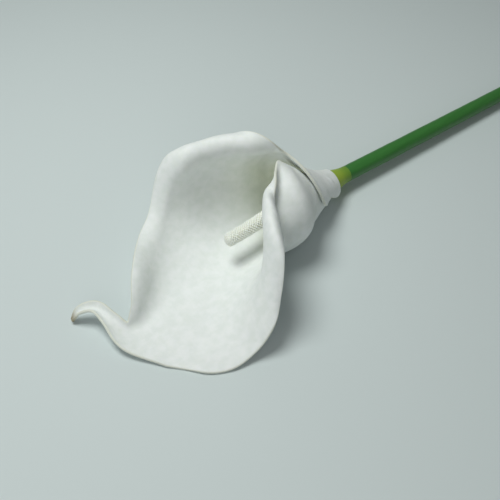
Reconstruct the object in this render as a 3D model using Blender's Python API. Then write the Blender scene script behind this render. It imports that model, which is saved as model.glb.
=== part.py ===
"""A calla lily blossom on its stem, lying on a flat surface.

The spathe is one sheet: a section curve carried along its midrib, closed to a lapped funnel at the
neck, open and rolled outwards past it, and drawn out to a curled tail. The spadix stands in the
funnel, a collar closes the neck from below, and the stem slopes down to the surface.

Places are given in millimetres as along (from the neck towards the tail), near (across, towards
the low side of the spathe) and up. The row's X runs from the blossom to the stem's cut end, so
along is -X and near is -Y.
"""

import bmesh
import bpy
import numpy as np
from mathutils import Vector

MM = 0.001

# Where the neck lies in the row, in millimetres: X, Y, and the height added to every part.
NECK = (-72.231, 5.249, -1.513)

WALL = 0.9
LAP = 1.6

# The spathe's stations down its length. Midrib: along, near, up. Then for the far side and for the
# near side: the reach from midrib to margin (mm), the steepest heading of the section curve
# (degrees), its heading at the margin, and the share of the reach where it is steepest. The last
# number turns the section from upright to square across the path.
STATIONS = np.array([
    # length  midrib             far side               near side              turn
    [0, 0.5, -2.6, 3.7, 24.1, 303, 303, .99, 11.8, 200, 200, .99, 0],
    [3, 2.9, -2.35, 3.5, 25.3, 283, 283, .99, 13.9, 200, 200, .99, 0],
    [7, 6.3, -1.9, 3.0, 28.4, 260, 260, .99, 18.0, 200, 200, .99, 0],
    [10, 9.0, -1.65, 2.55, 32.1, 248, 248, .99, 21.4, 201, 201, .99, 0],
    [13, 12.0, -1.5, 2.2, 40.4, 250, 256, .95, 25.3, 202, 202, .99, 0],
    [21, 19.4, -0.8, 2.0, 38.6, 150, 156, .93, 44.0, 206, 204, .97, 0],
    [26, 24.6, 0.7, 2.0, 44.2, 136, 62, .82, 48.4, 186, 178, .94, 0],
    [32, 30, 1.9, 2.0, 49.5, 124, -45, .73, 44.9, 162, 103, .87, 0],
    [37, 35, 2.2, 2.0, 51.5, 114, -70, .72, 44.4, 159, -46, .80, 0],
    [42, 40, 2.4, 2.0, 52.5, 108, -80, .72, 47.6, 132.5, -65, .66, 0],
    [47, 45, 2.6, 2.0, 52.5, 104, -75, .72, 45.9, 107, -48, .66, 0],
    [52, 50, 2.8, 2.0, 48.0, 98, -45, .76, 38.9, 70, -58, .64, 0],
    [57, 55, 3.0, 2.0, 40.0, 78, -10, .76, 35.5, 40, -25, .60, 0],
    [62, 60, 3.5, 2.0, 31.5, 56, 10, .72, 33.5, 20, -15.6, .60, 0],
    [72, 70, 5.5, 2.0, 24.0, 50, 12, .56, 30.0, 5, -8.8, .55, 0],
    [80, 77.5, 7.4, 2.2, 18.0, 74, 20, .46, 24.0, 1.2, -2.6, .55, .1],
    [87, 83.8, 8.5, 2.2, 9.0, 76, 50, .52, 15.0, 0, 2, .55, .3],
    [92, 87.8, 7.0, 2.9, 3.6, 62, 62, .65, 8.0, 8, 16, .55, .6],
    [97, 90.1, 2.2, 5.2, 2.6, 60, 60, .65, 3.5, 36, 50, .55, 1],
    [102, 92.2, -3.2, 6.5, 2.2, 60, 60, .65, 2.2, 60, 60, .55, 1],
    [107, 96.0, -6.2, 5.2, 1.6, 60, 60, .65, 1.6, 60, 60, .55, 1],
    [112, 99.1, -6.9, 2.6, 0.7, 40, 40, .65, 0.7, 40, 40, .55, 1],
])
ROWS = 56
COLUMNS = 24  # on each side of the midrib

# The line that the stem and the collar share: from the neck it slopes down and drifts to the near
# side, and it flattens towards the cut end.
STEM_TOP = (2.0, -2.45, 7.65)
STEM_RUN = 246.0
STEM_DRIFT = 0.009
STEM_END_UP = 4.13
STEM_SLOPES = (-0.026, -0.006)
STEM_START = 9.1
STEM_RADII = (2.9, 2.75, 2.6)

# The collar's outline by distance down that line, and radius: a plug inside the neck, a shoulder
# against the spathe's edge, and a taper that ends flush with the stem.
COLLAR_OUTLINE = (
    (0, 1.9), (1.65, 1.95), (1.75, 3.75), (2.1, 4.0), (3.0, 3.85), (4.2, 3.52),
    (5.5, 3.22), (7.0, 3.0), (8.2, 2.92), (8.8, 2.9),
)

# The spadix: path points, and its radius at the base, a quarter of the way along and at the tip.
SPADIX_PATH = (
    (2.4, -2.3, 8.3),
    (12.5, -1.25, 10.2),
    (25.9, 0.1, 11.5),
    (38.3, 1.3, 11.9),
    (48.2, 2.0, 12.2),
)
SPADIX_RADII = (1.9, 2.45, 2.1)


def hermite(x, knots, values):
    """A smooth curve through values at knots, with the slopes read from the neighbours."""
    gaps = np.diff(knots)[:, None]
    rise = np.diff(values, axis=0) / gaps
    inner = (rise[:-1] * gaps[1:] + rise[1:] * gaps[:-1]) / (gaps[1:] + gaps[:-1])
    slope = np.vstack([rise[:1], inner, rise[-1:]])
    i = np.clip(np.searchsorted(knots, x, side="right") - 1, 0, len(knots) - 2)
    t = ((x - knots[i]) / (knots[i + 1] - knots[i]))[:, None]
    h = gaps[i]
    return (
        (2 * t**3 - 3 * t**2 + 1) * values[i]
        + (t**3 - 2 * t**2 + t) * h * slope[i]
        + (3 * t**2 - 2 * t**3) * values[i + 1]
        + (t**3 - t**2) * h * slope[i + 1]
    )


def unit(v):
    return v / np.linalg.norm(v, axis=-1, keepdims=True)


def section_half(q, reach, peak, margin, share, side):
    """One side of the section curve: its heading rises to the peak, then eases to the margin's."""
    lap = -side * LAP * np.radians(peak) ** 2 / (4 * np.pi * reach * share)
    t = np.clip(q / share, 0, 1)
    fall = np.clip((q - share) / (1 - share), 0, 1)
    fall = fall * fall * (3 - 2 * fall)
    heading = np.radians(peak * ((1 + lap) * t - lap * t * t) + (margin - peak) * fall)
    step = (q[0, 1] - q[0, 0]) / 2
    across, up = (
        np.pad(np.cumsum(f[:, 1:] + f[:, :-1], axis=1) * step, ((0, 0), (1, 0))) * reach
        for f in (np.cos(heading), np.sin(heading))
    )
    return side * across, up


def spathe_points():
    """The sheet's middle surface as rows down the length, each from far margin to near margin."""
    lengths = np.linspace(STATIONS[0, 0], STATIONS[-1, 0], ROWS)
    table = hermite(lengths, STATIONS[:, 0], STATIONS[:, 1:])
    midrib = table[:, 0:3]
    turn = np.clip(table[:, 11:12], 0, 1)
    path = unit(np.gradient(midrib, lengths, axis=0))
    ahead = unit((1 - turn) * np.array([[1.0, 0, 0]]) + turn * path)
    beside = unit(np.cross([[0, 0, 1.0]], ahead))
    above = np.cross(ahead, beside)
    q = np.linspace(0, 1, 8 * COLUMNS + 1)[None]
    halves = []
    for side, first in ((-1, 3), (1, 7)):
        reach, peak, margin, share = (table[:, c : c + 1] for c in range(first, first + 4))
        across, up = section_half(q, reach, peak, margin, np.clip(share, 0.05, 0.99), side)
        across, up = across[:, ::8, None], up[:, ::8, None]
        halves.append(midrib[:, None] + across * beside[:, None] + up * above[:, None])
    return np.concatenate([halves[0][:, ::-1], halves[1][:, 1:]], axis=1)


def place(points):
    """Along, near and up in millimetres to the row's metres."""
    p = np.asarray(points, float)
    return np.stack([NECK[0] - p[..., 0], NECK[1] - p[..., 1], NECK[2] + p[..., 2]], axis=-1) * MM


def material(name, rgb, roughness):
    made = bpy.data.materials.new(name)
    made.use_nodes = True
    shader = made.node_tree.nodes["Principled BSDF"]
    shader.inputs["Base Color"].default_value = (*rgb, 1)
    shader.inputs["Roughness"].default_value = roughness
    shader.inputs["Metallic"].default_value = 0
    return made


def add_object(name, data, look):
    made = bpy.data.objects.new(name, data)
    bpy.context.collection.objects.link(made)
    data.materials.append(look)
    return made


def spathe():
    points = place(spathe_points())
    rows, columns = points.shape[:2]
    index = np.arange(rows * columns).reshape(rows, columns)
    quads = np.stack([index[:-1, :-1], index[:-1, 1:], index[1:, 1:], index[1:, :-1]], axis=-1)
    mesh = bpy.data.meshes.new("spathe")
    mesh.from_pydata(points.reshape(-1, 3).tolist(), [], quads.reshape(-1, 4).tolist())
    made = add_object("spathe", mesh, material("spathe_foam", (0.84, 0.88, 0.85), 0.6))
    sheet = made.modifiers.new("wall", "SOLIDIFY")
    sheet.thickness = WALL * MM
    sheet.offset = 0
    return made


def rod(name, path, radii, look, resolution):
    """A closed rod along a path, one radius for each point."""
    curve = bpy.data.curves.new(name, "CURVE")
    curve.dimensions = "3D"
    curve.bevel_depth = 1.0
    curve.bevel_resolution = resolution
    curve.use_fill_caps = True
    spline = curve.splines.new("POLY")
    spline.points.add(len(path) - 1)
    for point, at, radius in zip(spline.points, place(path), radii):
        point.co = (*at, 1)
        point.radius = radius * MM
    return add_object(name, curve, look)


def stem_axis(d):
    """A point on the stem's line, d millimetres down from its top in the neck."""
    t = np.asarray(d, float) / STEM_RUN
    up = (2 * t**3 - 3 * t**2 + 1) * STEM_TOP[2] + (3 * t**2 - 2 * t**3) * STEM_END_UP
    up += ((t**3 - 2 * t**2 + t) * STEM_SLOPES[0] + (t**3 - t**2) * STEM_SLOPES[1]) * STEM_RUN
    return np.stack([STEM_TOP[0] - d, STEM_TOP[1] + STEM_DRIFT * d, up], axis=-1)


def stem():
    d = np.linspace(STEM_START, STEM_RUN, 32)
    radii = np.interp(d, (STEM_START, 90, STEM_RUN), STEM_RADII)
    return rod("stem", stem_axis(d), radii, material("stem_plastic", (0.035, 0.135, 0.027), 0.45), 4)


def collar():
    """A solid plug and shoulder, turned about the stem's line."""
    ends = COLLAR_OUTLINE[0][0], COLLAR_OUTLINE[-1][0]
    top, bottom = (Vector(p) for p in place(stem_axis(np.array(ends))))
    axis = (bottom - top).normalized()
    side = axis.orthogonal().normalized()
    outline = [(ends[0], 0), *COLLAR_OUTLINE, (ends[1], 0)]
    build = bmesh.new()
    line = [build.verts.new(top + (axis * d + side * r) * MM) for d, r in outline]
    edges = [build.edges.new(pair) for pair in zip(line[:-1], line[1:])]
    bmesh.ops.spin(
        build,
        geom=line + edges,
        cent=top,
        axis=axis,
        angle=2 * np.pi,
        steps=24,
        use_merge=True,
    )
    bmesh.ops.remove_doubles(build, verts=build.verts, dist=1e-6)
    bmesh.ops.recalc_face_normals(build, faces=build.faces)
    mesh = bpy.data.meshes.new("collar")
    build.to_mesh(mesh)
    build.free()
    return add_object("collar", mesh, material("collar_plastic", (0.19, 0.32, 0.06), 0.5))


def spadix():
    knots = np.array(SPADIX_PATH)
    t = np.linspace(0, 1, 22)
    t = np.concatenate([t[:-1], 1 - np.array([0.028, 0.014, 0.005, 0])])
    path = hermite(t, np.linspace(0, 1, len(knots)), knots)
    left = (1 - t) * np.linalg.norm(knots[-1] - knots[0])
    body = np.interp(t, (0, 0.25, 1), SPADIX_RADII)
    cap = np.clip(left / SPADIX_RADII[2], 0.03, 1)
    radii = body * np.sqrt(1 - (1 - cap) ** 2)
    return rod("spadix", path, radii, material("spadix_foam", (0.68, 0.75, 0.66), 0.8), 3)


def main():
    for old in list(bpy.data.objects):
        bpy.data.objects.remove(old, do_unlink=True)
    spathe()
    spadix()
    collar()
    stem()


main()
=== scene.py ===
"""A calla lily blossom made of foam, on its moulded stem, lying on a pale table.

The spathe is one foam sheet. A section curve is carried along its midrib: at the neck it winds
round to a lapped funnel, further on it stands up as two sides whose rims roll outwards, then it
lies flat as a lobe and narrows to a curled tail. The spadix is a beaded rod in the funnel, and the
collar and the stem close the neck from below.

Places are worked out in millimetres as along (from the neck to the tip), near (across, to the low
side) and up, and then placed in the row's metres: along is -X, near is -Y, up is +Z.
"""

import bpy
import numpy as np
from mathutils import Matrix, Vector


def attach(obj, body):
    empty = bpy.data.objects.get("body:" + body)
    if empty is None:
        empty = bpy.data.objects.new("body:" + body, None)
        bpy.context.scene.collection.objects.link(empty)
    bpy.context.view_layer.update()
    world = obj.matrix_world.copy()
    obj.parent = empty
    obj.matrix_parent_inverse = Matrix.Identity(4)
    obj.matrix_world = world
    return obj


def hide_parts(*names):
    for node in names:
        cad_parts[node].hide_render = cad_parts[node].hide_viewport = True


bl_info = {
    "name": "Calla lily blossom",
    "version": (1, 0, 0),
    "blender": (4, 5, 0),
    "location": "3D View > Sidebar > Calla",
    "description": "Builds a foam calla lily blossom on its stem, piece by piece",
    "category": "Add Mesh",
}

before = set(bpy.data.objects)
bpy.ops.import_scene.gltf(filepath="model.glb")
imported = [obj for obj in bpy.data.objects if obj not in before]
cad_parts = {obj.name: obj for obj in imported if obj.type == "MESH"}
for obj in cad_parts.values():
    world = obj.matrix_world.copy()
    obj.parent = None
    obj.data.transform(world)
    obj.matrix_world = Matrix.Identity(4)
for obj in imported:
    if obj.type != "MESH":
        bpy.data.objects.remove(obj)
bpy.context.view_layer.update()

MM = 0.001

# Where the neck lies in the row, in millimetres: X, Y, and the height added to every part.
NECK = (-72.231, 5.249, -1.513)

# The spathe's stations down its length. Midrib: along, near, up. Then for the far side and for the
# near side: the reach from midrib to margin (mm), the steepest heading of the section curve
# (degrees), its heading at the margin, and the share of the reach where it is steepest. The last
# number turns the section from upright to square across the path.
STATIONS = np.array([
    # length  midrib             far side               near side              turn
    [0, 0.5, -2.6, 3.7, 24.1, 303, 303, .99, 11.8, 200, 200, .99, 0],
    [3, 2.9, -2.35, 3.5, 25.3, 283, 283, .99, 13.9, 200, 200, .99, 0],
    [7, 6.3, -1.9, 3.0, 28.4, 260, 260, .99, 18.0, 200, 200, .99, 0],
    [10, 9.0, -1.65, 2.55, 32.1, 248, 248, .99, 21.4, 201, 201, .99, 0],
    [13, 12.0, -1.5, 2.2, 40.4, 250, 256, .95, 26.6, 202, 202, .99, 0],
    [21, 19.4, -0.8, 2.0, 38.6, 150, 156, .93, 42.4, 206, 204, .97, 0],
    [26, 24.6, 0.7, 2.0, 44.2, 136, 62, .82, 48.4, 186, 178, .94, 0],
    [32, 30, 1.9, 2.0, 49.5, 124, -45, .73, 44.9, 162, 103, .87, 0],
    [37, 35, 2.2, 2.0, 51.5, 114, -70, .72, 44.4, 159, -46, .80, 0],
    [42, 40, 2.4, 2.0, 52.5, 108, -80, .72, 47.6, 132.5, -65, .66, 0],
    [47, 45, 2.6, 2.0, 52.5, 104, -75, .72, 45.9, 107, -48, .66, 0],
    [52, 50, 2.8, 2.0, 48.0, 98, -45, .76, 38.9, 70, -58, .64, 0],
    [57, 55, 3.0, 2.0, 40.0, 78, -10, .76, 35.5, 40, -25, .60, 0],
    [62, 60, 3.5, 2.0, 31.5, 56, 10, .72, 33.5, 20, -15.6, .60, 0],
    [72, 70, 5.5, 2.0, 24.0, 50, 12, .56, 30.0, 5, -8.8, .55, 0],
    [80, 77.5, 7.4, 2.2, 18.0, 74, 20, .46, 24.0, 1.2, -2.6, .55, .1],
    [87, 83.8, 8.5, 2.2, 9.0, 76, 50, .52, 15.0, 0, 2, .55, .3],
    [92, 87.8, 7.0, 2.9, 3.6, 62, 62, .65, 8.0, 8, 16, .55, .6],
    [97, 90.1, 2.2, 5.2, 2.9, 58, 54, .65, 3.9, 36, 50, .55, 1],
    [102, 92.2, -3.2, 6.5, 2.9, 56, 50, .65, 2.6, 60, 60, .55, 1],
    [107, 96.0, -6.2, 5.2, 2.2, 56, 50, .65, 1.9, 60, 60, .55, 1],
    [112, 99.1, -6.9, 2.6, 0.7, 40, 40, .65, 0.7, 40, 40, .55, 1],
])
# How much the wound section's radius grows in one turn (mm), so that the far side laps over the
# near side.
LAP = 1.6

# The waves in the far rim: how far each turns the margin (degrees), the length it is at and how
# wide it is (mm).
RUFFLES = ((14, 33), (-16, 44), (12, 54))
RUFFLE_WIDTH = 5

# The drop of set glue on the far flap's end: how far it stands out, the length it is at, its place
# across from the midrib (the far side is negative) and its width (mm).
DROP_HEIGHT = 0.5
DROP_LENGTH = 5.2
DROP_ACROSS = -20.0
DROP_WIDTH = 0.8

# How far the painted shade on the cut edge's thickness reaches in from the margin (mm).
EDGE_SHADE_FADE = 0.4

SPADIX_PATH = np.array([
    [2.4, -2.3, 8.3],
    [12.5, -1.25, 10.2],
    [25.9, 0.1, 11.5],
    [38.3, 1.3, 11.9],
    [48.2, 2.0, 12.2],
])

# The spadix's rod: its foot's share of the full radius, the distance over which it swells to that
# radius, where it starts to taper, and the share that it has lost at the tip.
SPADIX_FOOT = 0.74
SPADIX_SWELL = 11
SPADIX_TAPER_START = 8
SPADIX_TAPER = 0.14

# The beads: how far they stray, as a share of the pitch, how unevenly they stand, and the power
# that rounds them (1 is a plain wave, and less is blunter).
BEAD_STRAY = 0.16
BEAD_UNEVEN = 0.3
BEAD_POWER = 0.7

# The line that the stem and the collar share: its top inside the neck, its run to the cut end, how
# it drifts to the near side, the height of the cut end, and the line's slope at each end.
STEM_TOP = (2.0, -2.45, 7.65)
STEM_RUN = 246.0
STEM_DRIFT = 0.009
STEM_END_UP = 4.13
STEM_SLOPES = (-0.026, -0.006)
STEM_START = 8.65

# The stem's radius part way down, and the distance from its start where it has that radius.
STEM_WAIST = 2.74
STEM_WAIST_AT = 85

# The collar's outline by distance down that line, and radius: a plug inside the neck, a shoulder
# against the spathe's edge, and a taper that ends flush with the stem.
COLLAR_OUTLINE = np.array([
    [0.0, 1.5],
    [0.0, 1.9],
    [1.6, 1.95],
    [1.7, 3.6],
    [1.85, 3.9],
    [2.15, 4.0],
    [3.0, 3.85],
    [4.2, 3.52],
    [5.5, 3.22],
    [7.0, 3.0],
    [8.2, 2.93],
    [8.75, 2.9],
    [8.75, 2.5],
])

# How fine the meshes are: rows down each piece, columns from the midrib to each cut edge and round
# that edge, steps of the section curve's running sum, and points round each ring.
SPATHE_ROWS = 230
SPATHE_COLUMNS = 66
EDGE_COLUMNS = 5
SECTION_STEPS = 600
SPADIX_ROWS = 400
SPADIX_AROUND = 132
COLLAR_ROWS = 61
COLLAR_AROUND = 72
STEM_ROWS = 520
STEM_AROUND = 56

# The camera: its focal length (mm), its turn about the vertical and its tilt from straight down
# (degrees), and how far it stands from the neck's zero: to its own left, back and up (mm).
CAMERA_LENS = 46.8
CAMERA_TURN = 36.3
CAMERA_TILT = 40
CAMERA_LEFT = 30.1
CAMERA_BACK = 163.3
CAMERA_UP = 167

# The middle of the blossom (along, near, up), which the lights face, each light's offset from it in
# the row and its diameter (m), and half the table's width (m).
BLOSSOM = (45.0, 5.0, 10.0)
KEY_OFFSET = (-0.052, 0.104, 0.37)
KEY_DIAMETER = 0.185
SIDE_OFFSET = (-0.25, -0.2, 0.18)
SIDE_DIAMETER = 0.3
TABLE_HALF = 3.0


# ---------------------------------------------------------------- shared shapes


def unit(v):
    return v / np.maximum(np.linalg.norm(v, axis=-1, keepdims=True), 1e-12)


def smooth(t):
    t = np.clip(t, 0, 1)
    return t * t * (3 - 2 * t)


def ease(x, start, end):
    """0 up to the start and 1 from the end, easing between them; the end may be the smaller."""
    return smooth((x - start) / (end - start))


def bump(x, centre, width):
    return np.exp(-(((x - centre) / width) ** 2))


def hermite(x, knots, values):
    """A smooth curve through values at knots, with the slopes read from the neighbours."""
    gaps = np.diff(knots)[:, None]
    rise = np.diff(values, axis=0) / gaps
    inner = (rise[:-1] * gaps[1:] + rise[1:] * gaps[:-1]) / (gaps[1:] + gaps[:-1])
    slope = np.vstack([rise[:1], inner, rise[-1:]])
    i = np.clip(np.searchsorted(knots, x, side="right") - 1, 0, len(knots) - 2)
    t = ((x - knots[i]) / (knots[i + 1] - knots[i]))[:, None]
    h = gaps[i]
    return (
        (2 * t**3 - 3 * t**2 + 1) * values[i]
        + (t**3 - 2 * t**2 + t) * h * slope[i]
        + (3 * t**2 - 2 * t**3) * values[i + 1]
        + (t**3 - t**2) * h * slope[i + 1]
    )


def place(points):
    """Along, near and up in millimetres to the row's metres."""
    p = np.asarray(points, float)
    return np.stack([NECK[0] - p[..., 0], NECK[1] - p[..., 1], NECK[2] + p[..., 2]], axis=-1) * MM


def waves(u, v, seed, sizes, count=5):
    """A soft uneven field near +-1: a few sine waves of the given sizes, in seeded directions."""
    rng = np.random.default_rng(seed)
    field = np.zeros(np.broadcast(u, v).shape)
    for size in sizes:
        for _ in range(count):
            turn, start = rng.uniform(0, 2 * np.pi, 2)
            k = 2 * np.pi / (size * rng.uniform(0.8, 1.25))
            field += np.sin(k * (np.cos(turn) * u + np.sin(turn) * v) + start)
    return field / np.sqrt(len(sizes) * count / 2) / 2


def mesh_piece(name, points, quads, caps, material, uv=None, attributes=None):
    """An object from points in metres, quads and cap faces, smooth shaded."""
    mesh = bpy.data.meshes.new(name)
    polygons = quads.reshape(-1, 4).tolist() + caps
    mesh.from_pydata(points.reshape(-1, 3).tolist(), [], polygons)
    mesh.polygons.foreach_set("use_smooth", np.ones(len(mesh.polygons), bool))
    for label, values in (attributes or {}).items():
        layer = mesh.attributes.new(label, "FLOAT", "POINT")
        layer.data.foreach_set("value", np.asarray(values, np.float32).ravel())
    if uv is not None:
        loops = np.empty(len(mesh.loops), np.int32)
        mesh.loops.foreach_get("vertex_index", loops)
        layer = mesh.uv_layers.new(name="surface")
        layer.data.foreach_set("uv", uv.reshape(-1, 2)[loops].astype(np.float32).ravel())
    mesh.validate()
    mesh.update()
    mesh.materials.append(material)
    made = bpy.data.objects.new(name, mesh)
    bpy.context.collection.objects.link(made)
    return made


def ring_quads(rows, around):
    """Quads over a grid of rows whose columns close on themselves, facing out."""
    index = np.arange(rows * around).reshape(rows, around)
    right = np.roll(index, -1, axis=1)
    return np.stack([index[:-1], right[:-1], right[1:], index[1:]], axis=-1)


def ring(around):
    """Angles once round a ring, as one row."""
    return np.linspace(0, 2 * np.pi, around, endpoint=False)[None]


# ---------------------------------------------------------------- materials


def colour(hexes):
    """An sRGB hex colour as linear red, green, blue and alpha."""
    srgb = np.array([int(hexes.lstrip("#")[i : i + 2], 16) for i in (0, 2, 4)]) / 255
    linear = np.where(srgb <= 0.04045, srgb / 12.92, ((srgb + 0.055) / 1.055) ** 2.4)
    return (*(float(c) for c in linear), 1.0)


def add(tree, kind, inputs=None, ramp=None, **settings):
    """Adds a node with its settings; an input is a value or another node's output."""
    made = tree.nodes.new(kind)
    for key, value in settings.items():
        setattr(made, key, value)
    if ramp:
        stops = made.color_ramp.elements
        while len(stops) < len(ramp):
            stops.new(0.5)
        for stop, (position, value) in zip(stops, ramp):
            stop.position = position
            stop.color = value
    for key, value in (inputs or {}).items():
        if isinstance(value, bpy.types.NodeSocket):
            tree.links.new(value, made.inputs[key])
        else:
            made.inputs[key].default_value = value
    return made


def field(tree, name):
    """One of the mesh's own fields."""
    return add(tree, "ShaderNodeAttribute", attribute_name=name).outputs["Fac"]


def noise(tree, where, scale, detail):
    """An uneven field with 1 / scale metres between its patches."""
    sockets = {"Vector": where, "Scale": scale, "Detail": detail}
    return add(tree, "ShaderNodeTexNoise", sockets).outputs["Fac"]


def mix(tree, factor, first, second, **settings):
    """The first colour at factor 0, the second at factor 1."""
    sockets = {"Factor": factor, 6: first, 7: second}
    return add(tree, "ShaderNodeMix", sockets, data_type="RGBA", **settings).outputs[2]


def relief(tree, height, strength, depth, below=None):
    """Surface directions for a height field of the given depth (mm), laid over a coarser one."""
    sockets = {"Height": height, "Strength": strength, "Distance": depth * MM}
    if below is not None:
        sockets["Normal"] = below
    return add(tree, "ShaderNodeBump", sockets).outputs["Normal"]


def new_material(name, **shader):
    """A material with one Principled shader, and its tree."""
    made = bpy.data.materials.new(name)
    made.use_nodes = True
    tree = made.node_tree
    principled = tree.nodes["Principled BSDF"]
    for key, value in shader.items():
        principled.inputs[key.replace("_", " ")].default_value = value
    return made, tree, principled


def foam_sheet(settings):
    """Closed-cell EVA foam sheet, heat pressed into shape: a soft even white that lets a little
    light through, faintly mottled where the cells were squeezed, greener in the throat, with
    painted shade along the cut edges."""
    made, tree, shader = new_material(
        "eva_foam_sheet_heat_pressed",
        Roughness=0.62,
        Subsurface_Weight=settings.glow,
        Subsurface_Radius=(1.0, 0.98, 0.85),
        Subsurface_Scale=1.6 * MM,
        Sheen_Weight=0.08,
        Sheen_Roughness=0.5,
        IOR=1.45,
    )
    where = add(tree, "ShaderNodeTexCoord").outputs["Object"]
    throat = field(tree, "throat")
    margin = field(tree, "margin")
    tip = field(tree, "tip")
    white = mix(tree, throat, settings.white, settings.throat)
    # Cells squeezed unevenly show as paler patches, about two millimetres across.
    patches = noise(tree, where, scale=420.0, detail=3.0)
    patch = add(
        tree,
        "ShaderNodeValToRGB",
        {"Fac": patches},
        ramp=((0.35, colour("#F6F8F6")), (0.65, colour("#FFFFFF"))),
    ).outputs["Color"]
    mottled = mix(tree, 1.0, white, patch, blend_type="MULTIPLY")
    # Painted shade: the edge colour darkens a thin band along the cut edges, where their thickness
    # lies in shadow.
    edge_shaded = mix(tree, margin, mottled, settings.edge)
    tipped = mix(tree, tip, edge_shaded, settings.tip)
    tree.links.new(tipped, shader.inputs["Base Color"])
    # The pressed skin keeps a fine grain over shallow dents a few millimetres across.
    grain = noise(tree, where, scale=1500.0, detail=2.0)
    dents = noise(tree, where, scale=260.0, detail=2.0)
    coarse = relief(tree, dents, strength=0.12, depth=0.12)
    skin = relief(tree, grain, strength=0.3, depth=0.06, below=coarse)
    tree.links.new(skin, shader.inputs["Normal"])
    return made


def beaded_foam(settings):
    """Cast soft foam with a beaded face: cream white on the beads, with a little painted shade
    between.
    """
    made, tree, shader = new_material(
        "polyurethane_foam_cast_beads",
        Roughness=0.55,
        Subsurface_Weight=0.25,
        Subsurface_Radius=(1.0, 0.9, 0.7),
        Subsurface_Scale=1.2 * MM,
        IOR=1.45,
    )
    bead = field(tree, "bead")
    where = add(tree, "ShaderNodeTexCoord").outputs["Object"]
    # Painted shade: the hollows between the beads take the darker colour.
    tree.links.new(mix(tree, bead, settings.hollow_shade, settings.bead), shader.inputs["Base Color"])
    grain = noise(tree, where, scale=3000.0, detail=2.0)
    rough = relief(tree, grain, strength=0.3, depth=0.05)
    tree.links.new(rough, shader.inputs["Normal"])
    return made


def collar_plastic(settings):
    """Polyethylene moulded over the stem's end: satin, yellow-green, greener to the stem."""
    made, tree, shader = new_material(
        "polyethylene_moulded_yellow_green",
        Roughness=0.42,
        Subsurface_Weight=0.15,
        Subsurface_Radius=(0.8, 1.0, 0.3),
        Subsurface_Scale=1.0 * MM,
        IOR=1.5,
    )
    toward = field(tree, "toward")
    where = add(tree, "ShaderNodeTexCoord").outputs["Object"]
    mixed = mix(tree, toward, settings.stem_side, settings.flower_side)
    tree.links.new(mixed, shader.inputs["Base Color"])
    flow = noise(tree, where, scale=500.0, detail=2.0)
    ripple = relief(tree, flow, strength=0.3, depth=0.1)
    tree.links.new(ripple, shader.inputs["Normal"])
    return made


def stem_plastic(settings):
    """Polyethylene moulded in mid green with a satin face: streaked along the flow, with a fine
    grain."""
    made, tree, shader = new_material("polyethylene_moulded_mid_green", Roughness=0.4, IOR=1.5)
    where = add(tree, "ShaderNodeTexCoord").outputs["Object"]
    along = add(tree, "ShaderNodeMapping", {"Vector": where, "Scale": (0.12, 1.0, 1.0)})
    streaks = noise(tree, along.outputs["Vector"], scale=700.0, detail=3.0)
    tone = mix(tree, streaks, settings.dark, settings.light)
    tree.links.new(tone, shader.inputs["Base Color"])
    grain = noise(tree, where, scale=1400.0, detail=2.0)
    face = relief(tree, grain, strength=0.35, depth=0.05)
    tree.links.new(face, shader.inputs["Normal"])
    return made


def table_top(settings):
    """Matt laminate, plain and pale."""
    made, _, shader = new_material("laminate_matt_pale", Roughness=0.8)
    shader.inputs["Base Color"].default_value = settings.floor
    return made


# ---------------------------------------------------------------- the spathe


def section_half(table, q, side):
    """One side of the section curve, for every row at once. Its heading rises from the midrib to
    the peak, a little unevenly so that closed sections wind as a spiral and the far side passes
    outside the near side, then eases to the margin's heading. The curve is the heading's running
    sum over the reach, read at the shares q."""
    first = 3 if side < 0 else 7
    reach, peak, margin, share = (table[:, c : c + 1] for c in range(first, first + 4))
    share = np.clip(share, 0.05, 0.99)
    steps = SECTION_STEPS
    at = np.linspace(0, 1, steps + 1)[None]
    lap = -side * LAP * np.radians(peak) ** 2 / (4 * np.pi * reach * share)
    t = np.clip(at / share, 0, 1)
    fall = smooth((at - share) / (1 - share))
    heading = np.radians(peak * ((1 + lap) * t - lap * t * t) + (margin - peak) * fall)
    curve = []
    for part in (np.cos(heading), np.sin(heading)):
        total = np.pad(np.cumsum(part[:, 1:] + part[:, :-1], axis=1), ((0, 0), (1, 0)))
        low = np.clip((q * steps).astype(int), 0, steps - 1)
        left = np.take_along_axis(total, low, axis=1)
        right = np.take_along_axis(total, low + 1, axis=1)
        curve.append((left + (right - left) * (q * steps - low)) * reach / (2 * steps))
    return side * curve[0], curve[1]


def spathe_rows(wall, rows):
    """Lengths of the rows: even down the sheet, and close at both cut ends, where the wall rounds
    off. Also how thick the wall is at each row, as a share, from a quarter at the cut ends."""
    turn = np.linspace(0, np.pi / 2, 5)[:-1]
    start, end = STATIONS[0, 0], STATIONS[-1, 0]
    at_neck = wall / 2
    at_tip = 0.6 * at_neck
    near_start = start + at_neck * (1 - np.cos(turn))
    near_end = end - at_tip * (1 - np.cos(turn))[::-1]
    lengths = np.concatenate([near_start, np.linspace(start + at_neck, end - at_tip, rows), near_end])
    round_off = 0.25 + 0.75 * np.sin(turn)
    thick = np.concatenate([round_off, np.ones(rows), round_off[::-1]])
    return lengths, thick


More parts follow.
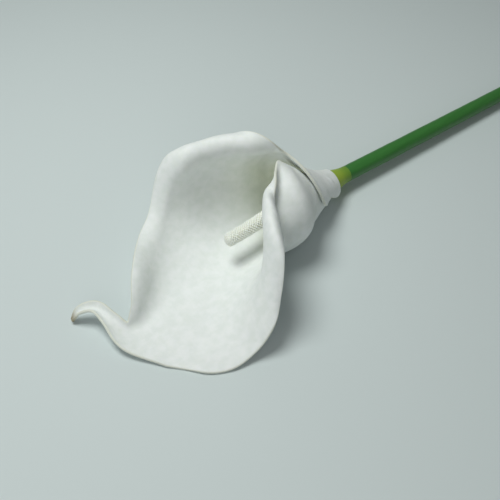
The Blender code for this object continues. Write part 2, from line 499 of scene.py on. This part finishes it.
def spathe_shape(settings):
    """The foam sheet as a closed shell, its colour fields and its UV map.

    Each row is a section: the middle curve from the far margin over the midrib to the near margin,
    with the wall laid half to each side along the surface normal. Near a margin the columns close
    up and the wall follows a half circle, so the cut edge is rounded."""
    wall = settings.wall * 1000
    r = wall / 2
    lengths, thick = spathe_rows(wall, SPATHE_ROWS)
    table = hermite(lengths, STATIONS[:, 0], STATIONS[:, 1:])
    s = lengths[:, None]
    # The far rim waves a little where it rolls out.
    ruffle = sum(degrees * bump(s, length, RUFFLE_WIDTH) for degrees, length in RUFFLES)
    table[:, 5:6] += settings.ruffle * ruffle
    midrib = table[:, 0:3]
    turn = np.clip(table[:, 11:12], 0, 1)
    path = unit(np.gradient(midrib, lengths, axis=0))
    ahead = unit((1 - turn) * np.array([[1.0, 0, 0]]) + turn * path)
    beside = unit(np.cross([[0, 0, 1.0]], ahead))
    above = np.cross(ahead, beside)

    angle = np.linspace(0, np.pi / 2, EDGE_COLUMNS + 1)[1:]
    halves, walls, spans, rims = [], [], [], []
    for side, reach in ((-1, table[:, 3:4]), (1, table[:, 7:8])):
        share = np.minimum(r / reach, 0.5)
        inner = (1 - share) * np.linspace(0, 1, SPATHE_COLUMNS + 1)[None]
        outer = 1 - share * (1 - np.sin(angle))[None]
        q = np.concatenate([inner, outer], axis=1)
        across, up = section_half(table, q, side)
        halves.append(
            midrib[:, None] + across[..., None] * beside[:, None] + up[..., None] * above[:, None]
        )
        full = np.ones(SPATHE_COLUMNS + 1)
        walls.append(np.concatenate([full, np.cos(angle)])[None] * np.ones_like(q))
        spans.append(side * q * reach)
        rims.append((1 - q) * reach)

    def join(pair):
        """The far half and the near half as one, from the far margin to the near margin."""
        return np.concatenate([pair[0][:, ::-1], pair[1][:, 1:]], axis=1)

    middle, width, span, rim = join(halves), join(walls), join(spans), join(rims)
    width = width * thick[:, None]
    # Pressed by hand: slow dents a centimetre across, fading out at the margins and in the tail.
    calm = ease(rim, 0, 6) * ease(s, 110, 90) * ease(s, 8, 18)
    dents = settings.dents * 1000 * calm * waves(span, s, seed=7, sizes=(16, 9))
    down = np.gradient(middle, axis=0)
    over = np.gradient(middle, axis=1)
    normal = unit(np.cross(over, down))
    middle = middle + normal * dents[..., None]
    normal = unit(np.cross(np.gradient(middle, axis=1), np.gradient(middle, axis=0)))

    inside = middle - normal * (r * width)[..., None]
    outside = middle + normal * (r * width)[..., None]
    drop = DROP_HEIGHT * bump(np.hypot(s - DROP_LENGTH, span - DROP_ACROSS), 0, DROP_WIDTH)
    outside = outside + normal * drop[..., None]

    def wrap(inner, outer):
        """The inside across the sheet, then the outside back again."""
        return np.concatenate([inner, outer[:, -2:0:-1]], axis=1)

    loop = wrap(inside, outside)
    rows, around = loop.shape[:2]
    quads = ring_quads(rows, around)
    # Each cut end is closed by a strip of quads between the inside and the outside of its row, with
    # a triangle at each margin.
    last = inside.shape[1] - 1
    step = np.arange(1, last - 1)
    strip = np.stack([step, around - step, around - step - 1, step + 1], axis=-1)
    far_end = (rows - 1) * around
    caps = [*strip.tolist(), *(strip[:, ::-1] + far_end).tolist()]
    margins = np.array([[0, around - 1, 1], [last - 1, last + 1, last]])
    caps += [*margins.tolist(), *(margins[:, ::-1] + far_end).tolist()]

    deep = ease(s, 46, 12) * ease(rim, 6, 22)
    bare = np.zeros_like(span)
    # The margin field places the painted shade along the cut edges, fading in from each edge.
    cut = np.exp(-((rim / EDGE_SHADE_FADE) ** 2))
    brown = ease(s, 107, 112) + bare
    map_points = np.stack([span, s + bare], axis=-1) * MM
    fields = {"throat": wrap(deep, bare), "margin": wrap(cut, cut), "tip": wrap(brown, brown)}
    return place(loop), quads, caps, wrap(map_points, map_points), fields


# ---------------------------------------------------------------- rods


def rod_rows(length, radius, rows, start_round, end_round):
    """Distances down a rod and the share of its radius there, with each end rounded off by a
    quarter circle of the given radius."""
    turn = np.linspace(0, np.pi / 2, 7)
    begin = start_round * (1 - np.cos(turn[:-1]))
    finish = (length - end_round * (1 - np.cos(turn[:-1])))[::-1]
    d = np.concatenate([begin, np.linspace(start_round, length - end_round, rows), finish])
    head = np.clip(1 - d / start_round, 0, 1)
    tail = np.clip(1 - (length - d) / end_round, 0, 1)
    size = radius(d)
    size = size - start_round * (1 - np.sqrt(1 - head**2)) - end_round * (1 - np.sqrt(1 - tail**2))
    return d, np.maximum(size, 0.02)


def rod_points(path, radii):
    """Rings of points square to a path, with a radius for every point."""
    ahead = unit(np.gradient(path, axis=0))
    beside = unit(np.cross([[0, 0, 1.0]], ahead))
    above = np.cross(ahead, beside)
    turn = ring(radii.shape[1])
    return (
        path[:, None]
        + (radii * np.cos(turn))[..., None] * beside[:, None]
        + (radii * np.sin(turn))[..., None] * above[:, None]
    )


def rod_caps(rows, around):
    """The two end rings as single faces, facing out."""
    first = list(range(around))[::-1]
    last = [(rows - 1) * around + i for i in range(around)]
    return [first, last]


def stem_axis(d):
    """The line the stem and the collar share, d millimetres down from its top in the neck. The
    height is a cubic with the slopes given at both ends."""
    t = d / STEM_RUN
    up = (2 * t**3 - 3 * t**2 + 1) * STEM_TOP[2] + (3 * t**2 - 2 * t**3) * STEM_END_UP
    up = up + ((t**3 - 2 * t**2 + t) * STEM_SLOPES[0] + (t**3 - t**2) * STEM_SLOPES[1]) * STEM_RUN
    return np.stack([STEM_TOP[0] - d, STEM_TOP[1] + STEM_DRIFT * d, up], axis=-1)


# ---------------------------------------------------------------- settings


def tint(name, description, default):
    return bpy.props.FloatVectorProperty(
        name=name,
        description=description,
        subtype="COLOR",
        size=4,
        min=0,
        max=1,
        default=colour(default),
    )


def size_of(name, description, default):
    return bpy.props.FloatProperty(
        name=name, description=description, unit="LENGTH", default=default, precision=5
    )


class CallaSpatheSettings(bpy.types.PropertyGroup):
    wall: size_of("Wall", "Thickness of the foam sheet", 0.9 * MM)
    dents: size_of("Dents", "Depth of the slow dents left by pressing", 0.12 * MM)
    ruffle: bpy.props.FloatProperty(name="Ruffle", description="How much the rim waves", default=1.0)
    glow: bpy.props.FloatProperty(
        name="Glow", description="How much light passes into the foam", default=0.3
    )
    white: tint("White", "Colour of the foam", "#F3F6F4")
    throat: tint("Throat", "Colour deep in the funnel", "#ECF0DC")
    # The edge colour is painted shade on the cut edge's thickness.
    edge: tint("Edge", "Colour of the cut edge", "#E0E2D6")
    tip: tint("Tip", "Colour of the tail's tip", "#9C9276")


class CallaSpadixSettings(bpy.types.PropertyGroup):
    radius: size_of("Radius", "Radius of the rod under its beads", 2.2 * MM)
    pitch: size_of("Bead pitch", "Distance between beads", 1.05 * MM)
    height: size_of("Bead height", "How far the beads stand out", 0.5 * MM)
    bead: tint("Bead", "Colour of the beads", "#FDFEFC")
    # The hollow colour is painted shade between the beads.
    hollow_shade: tint("Hollow", "Colour between the beads", "#DDE1CF")


class CallaStemSettings(bpy.types.PropertyGroup):
    top_radius: size_of("Top radius", "Radius under the collar", 2.88 * MM)
    end_radius: size_of("End radius", "Radius at the cut end", 2.58 * MM)
    light: tint("Light", "Lighter green", "#41823B")
    dark: tint("Dark", "Darker green", "#2E6A2A")
    flower_side: tint("Collar, flower side", "Colour of the collar at the spathe", "#97B03E")
    stem_side: tint("Collar, stem side", "Colour of the collar at the stem", "#6F9535")


class CallaStageSettings(bpy.types.PropertyGroup):
    floor: tint("Floor", "Colour of the table", "#D2DBDB")
    key: bpy.props.FloatProperty(
        name="Key light", description="Power of the main light", unit="POWER", default=1.0
    )
    side: bpy.props.FloatProperty(
        name="Side light", description="Power of the weak side light", unit="POWER", default=0.24
    )
    fill: bpy.props.FloatProperty(
        name="Fill light", description="Brightness of the surroundings", default=0.15
    )


# ---------------------------------------------------------------- operators


class CALLA_OT_spathe(bpy.types.Operator):
    """Build the white foam spathe"""

    bl_idname = "calla.spathe"
    bl_label = "Spathe"

    def execute(self, context):
        settings = context.scene.calla_spathe
        points, quads, caps, uv, fields = spathe_shape(settings)
        made = mesh_piece("spathe_sheet", points, quads, caps, foam_sheet(settings), uv, fields)
        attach(made, "root")
        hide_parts("spathe")
        return {"FINISHED"}


class CALLA_OT_spadix(bpy.types.Operator):
    """Build the beaded spadix"""

    bl_idname = "calla.spadix"
    bl_label = "Spadix"

    def execute(self, context):
        settings = context.scene.calla_spadix
        radius, pitch, height = (v * 1000 for v in (settings.radius, settings.pitch, settings.height))
        length = float(np.linalg.norm(np.diff(SPADIX_PATH, axis=0), axis=1).sum())

        def taper(d):
            swell = SPADIX_FOOT + (1 - SPADIX_FOOT) * ease(d, 0, SPADIX_SWELL)
            return radius * swell * (1 - SPADIX_TAPER * ease(d, SPADIX_TAPER_START, length))

        d, radii = rod_rows(length, taper, SPADIX_ROWS, start_round=0.4, end_round=1.75)
        path = hermite(d / length, np.linspace(0, 1, len(SPADIX_PATH)), SPADIX_PATH)
        # Beads: two sets of slanting waves crossing, so that their tops sit in staggered rings.
        count = round(2 * np.pi * radius / pitch)
        turn = ring(SPADIX_AROUND)
        level, depth = radius * np.cos(turn), d[:, None] + radius * np.sin(turn)
        stray = BEAD_STRAY * waves(level, depth, seed=3, sizes=(3.0,))
        x = count * turn / (2 * np.pi) + stray
        y = d[:, None] / pitch + stray[:, ::-1]
        # The bead field also sets the painted shade in the hollows between the beads.
        bead = np.abs(np.cos(np.pi * (x + y)) * np.cos(np.pi * (x - y))) ** BEAD_POWER
        uneven = 1 + BEAD_UNEVEN * waves(level, depth, seed=5, sizes=(1.6,))
        stand = np.clip(radii / radius, 0, 1)[:, None] * height * bead * uneven
        points = rod_points(path, radii[:, None] + stand)
        made = mesh_piece(
            "spadix_beaded",
            place(points),
            ring_quads(len(d), SPADIX_AROUND),
            rod_caps(len(d), SPADIX_AROUND),
            beaded_foam(settings),
            attributes={"bead": bead},
        )
        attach(made, "root")
        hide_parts("spadix")
        return {"FINISHED"}


class CALLA_OT_collar(bpy.types.Operator):
    """Build the collar under the spathe"""

    bl_idname = "calla.collar"
    bl_label = "Collar"

    def execute(self, context):
        settings = context.scene.calla_stem
        steps = np.linspace(0, len(COLLAR_OUTLINE) - 1, COLLAR_ROWS)
        profile = hermite(steps, np.arange(len(COLLAR_OUTLINE)), COLLAR_OUTLINE)
        distance, radii = profile[:, :1], np.maximum(profile[:, 1:], 0.5)
        path = stem_axis(distance[:, 0])
        # The outline runs straight out in places, so every ring faces the way the line runs here.
        ahead = unit(stem_axis(np.array([0.0])) - stem_axis(np.array([7.0])))[0]
        beside = unit(np.cross([0, 0, 1.0], ahead))
        above = np.cross(ahead, beside)
        turn = ring(COLLAR_AROUND)
        points = (
            path[:, None]
            + (radii * np.cos(turn))[..., None] * beside
            + (radii * np.sin(turn))[..., None] * above
        )
        made = mesh_piece(
            "collar_cup",
            place(points),
            ring_quads(len(profile), COLLAR_AROUND)[..., ::-1],
            [face[::-1] for face in rod_caps(len(profile), COLLAR_AROUND)],
            collar_plastic(settings),
            attributes={"toward": ease(distance, 8.4, 3.4) * np.ones_like(turn)},
        )
        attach(made, "root")
        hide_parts("collar")
        return {"FINISHED"}


class CALLA_OT_stem(bpy.types.Operator):
    """Build the stem"""

    bl_idname = "calla.stem"
    bl_label = "Stem"

    def execute(self, context):
        settings = context.scene.calla_stem
        top, end = settings.top_radius * 1000, settings.end_radius * 1000
        length = STEM_RUN - STEM_START

        def taper(d):
            straight = np.interp(d, (0, STEM_WAIST_AT, length), (top, STEM_WAIST, end))
            return straight + 0.025 * waves(d, 0 * d, seed=11, sizes=(14, 6))

        d, radii = rod_rows(length, taper, STEM_ROWS, start_round=0.1, end_round=0.35)
        turn = ring(STEM_AROUND)
        dents = 0.03 * waves(2.5 * turn, d[:, None], seed=21, sizes=(9, 4))
        # The dents don't meet themselves after a full turn, so they fade out where the ring starts.
        from_start = np.minimum(turn, 2 * np.pi - turn)
        dents = dents * ease(from_start, 0, 0.8)
        points = rod_points(stem_axis(STEM_START + d), radii[:, None] + dents)
        made = mesh_piece(
            "stem_moulded",
            place(points),
            ring_quads(len(d), STEM_AROUND)[..., ::-1],
            [face[::-1] for face in rod_caps(len(d), STEM_AROUND)],
            stem_plastic(settings),
        )
        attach(made, "root")
        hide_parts("stem")
        return {"FINISHED"}


class CALLA_OT_stage(bpy.types.Operator):
    """Set out the table, the lights and the camera"""

    bl_idname = "calla.stage"
    bl_label = "Stage"

    def execute(self, context):
        settings = context.scene.calla_stage
        scene = context.scene
        corners = TABLE_HALF * np.array([[-1, -1, 0], [1, -1, 0], [1, 1, 0], [-1, 1, 0]])
        floor = mesh_piece("table", corners, np.array([[0, 1, 2, 3]]), [], table_top(settings))
        add_light("key", KEY_OFFSET, KEY_DIAMETER, settings.key, colour("#FBFFFC"))
        # A weak wide light from the tail's side opens up the inside of the far wall.
        add_light("side", SIDE_OFFSET, SIDE_DIAMETER, settings.side, colour("#FFFFFF"))
        world = bpy.data.worlds.new("soft_room")
        world.use_nodes = True
        back = world.node_tree.nodes["Background"]
        back.inputs["Color"].default_value = colour("#F0F6F5")
        back.inputs["Strength"].default_value = settings.fill
        scene.world = world
        lens = bpy.data.cameras.new("camera")
        lens.sensor_width = 36
        lens.lens = CAMERA_LENS
        lens.clip_start = 0.01
        eye = bpy.data.objects.new("camera", lens)
        turn = np.radians(CAMERA_TURN)
        x = NECK[0] - CAMERA_LEFT * np.cos(turn) - CAMERA_BACK * np.sin(turn)
        y = NECK[1] + CAMERA_LEFT * np.sin(turn) - CAMERA_BACK * np.cos(turn)
        z = NECK[2] + CAMERA_UP
        eye.matrix_world = (
            Matrix.Translation(Vector((x, y, z)) * MM)
            @ Matrix.Rotation(-turn, 4, "Z")
            @ Matrix.Rotation(np.radians(CAMERA_TILT), 4, "X")
        )
        scene.collection.objects.link(eye)
        scene.camera = eye
        scene.view_settings.view_transform = "Standard"
        return {"FINISHED"}


def add_light(name, offset, diameter, power, tone):
    """A round area light at an offset from the blossom, turned to face it."""
    data = bpy.data.lights.new(name, "AREA")
    data.shape = "DISK"
    data.size = diameter
    data.energy = power
    data.color = tone[:3]
    light = bpy.data.objects.new(name, data)
    light.location = Vector(place(BLOSSOM)) + Vector(offset)
    light.rotation_euler = (-Vector(offset)).to_track_quat("-Z", "Y").to_euler()
    bpy.context.scene.collection.objects.link(light)


class CALLA_PT_panel(bpy.types.Panel):
    bl_idname = "CALLA_PT_panel"
    bl_label = "Calla lily"
    bl_space_type = "VIEW_3D"
    bl_region_type = "UI"
    bl_category = "Calla"

    def draw(self, context):
        for name, operator in (
            ("calla_spathe", CALLA_OT_spathe),
            ("calla_spadix", CALLA_OT_spadix),
            ("calla_stem", CALLA_OT_stem),
            ("calla_stage", CALLA_OT_stage),
        ):
            box = self.layout.box()
            group = getattr(context.scene, name)
            for key in group.__annotations__:
                box.prop(group, key)
            box.operator(operator.bl_idname)
            if operator is CALLA_OT_stem:
                box.operator(CALLA_OT_collar.bl_idname)


GROUPS = {
    "calla_spathe": CallaSpatheSettings,
    "calla_spadix": CallaSpadixSettings,
    "calla_stem": CallaStemSettings,
    "calla_stage": CallaStageSettings,
}
TOOLS = (
    CALLA_OT_spathe,
    CALLA_OT_spadix,
    CALLA_OT_collar,
    CALLA_OT_stem,
    CALLA_OT_stage,
    CALLA_PT_panel,
)


def register():
    for each in (*GROUPS.values(), *TOOLS):
        bpy.utils.register_class(each)
    for name, group in GROUPS.items():
        setattr(bpy.types.Scene, name, bpy.props.PointerProperty(type=group))


def unregister():
    for name in GROUPS:
        delattr(bpy.types.Scene, name)
    for each in reversed((*GROUPS.values(), *TOOLS)):
        bpy.utils.unregister_class(each)


def main():
    register()
    bpy.ops.calla.spathe()
    bpy.ops.calla.spadix()
    bpy.ops.calla.collar()
    bpy.ops.calla.stem()
    bpy.ops.calla.stage()


if __name__ == "__main__":
    main()
